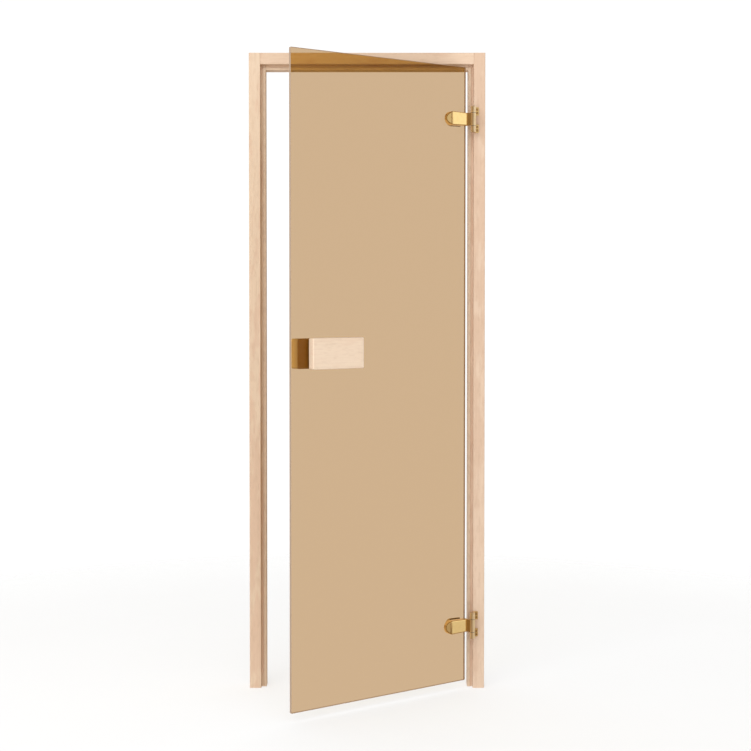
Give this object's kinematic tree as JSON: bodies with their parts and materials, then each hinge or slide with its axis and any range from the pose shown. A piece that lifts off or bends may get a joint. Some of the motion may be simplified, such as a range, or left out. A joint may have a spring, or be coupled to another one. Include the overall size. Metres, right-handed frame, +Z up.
{
  "type": "sauna door",
  "caption": "Glass sauna door in a three-sided pale wood frame, swung part open on brass hinges, with wood grip blocks on both faces.",
  "frame": {"origin": "on the wall face of the hinge jamb, at the floor, halfway through the frame's depth", "axes": "+X points from the latch side to the hinge side and out of the hinge jamb into the wall, +Y points from the outside into the sauna, +Z is up"},
  "size_m": [0.7, 0.4245, 1.89],
  "materials": {
    "frame_wood": "planed, unfinished",
    "handle_wood": "sanded smooth",
    "seal_silicone": "matt",
    "gasket_rubber": "matt",
    "hinge_brass": "polished",
    "pin_steel": "satin",
    "screw_steel": "satin",
    "washer_nylon": "matt",
    "bronze_glass": "clear, bronze tint, polished edges"
  },
  "bodies": {
    "frame": {"jamb_hinge_side": "frame_wood", "jamb_latch_side": "frame_wood", "head": "frame_wood", "seal_hinge_side": "seal_silicone", "seal_latch_side": "seal_silicone", "seal_head": "seal_silicone", "hinge_bracket_upper": "hinge_brass", "hinge_bracket_lower": "hinge_brass", "hinge_pin_upper": "pin_steel", "hinge_pin_lower": "pin_steel", "hinge_washers_upper": "washer_nylon", "hinge_washers_lower": "washer_nylon"},
    "leaf": {"glass_pane": "bronze_glass", "hinge_clamp_outer_upper": "hinge_brass", "hinge_clamp_outer_lower": "hinge_brass", "hinge_clamp_inner_upper": "hinge_brass", "hinge_clamp_inner_lower": "hinge_brass", "hinge_gasket_outer_upper": "gasket_rubber", "hinge_gasket_outer_lower": "gasket_rubber", "hinge_gasket_inner_upper": "gasket_rubber", "hinge_gasket_inner_lower": "gasket_rubber", "hinge_clamp_screws_upper": "screw_steel", "hinge_clamp_screws_lower": "screw_steel", "handle_outer": "handle_wood", "handle_inner": "handle_wood", "handle_bolts": "screw_steel", "handle_rings": "gasket_rubber"}
  },
  "joints": [
    {"name": "leaf_swing", "type": "hinge", "parent": "frame", "child": "leaf", "pos_m": [-0.037, -0.0555, 0.942], "axis": [0, 0, 1], "range_deg": [-35.8, 144.2]}
  ]
}
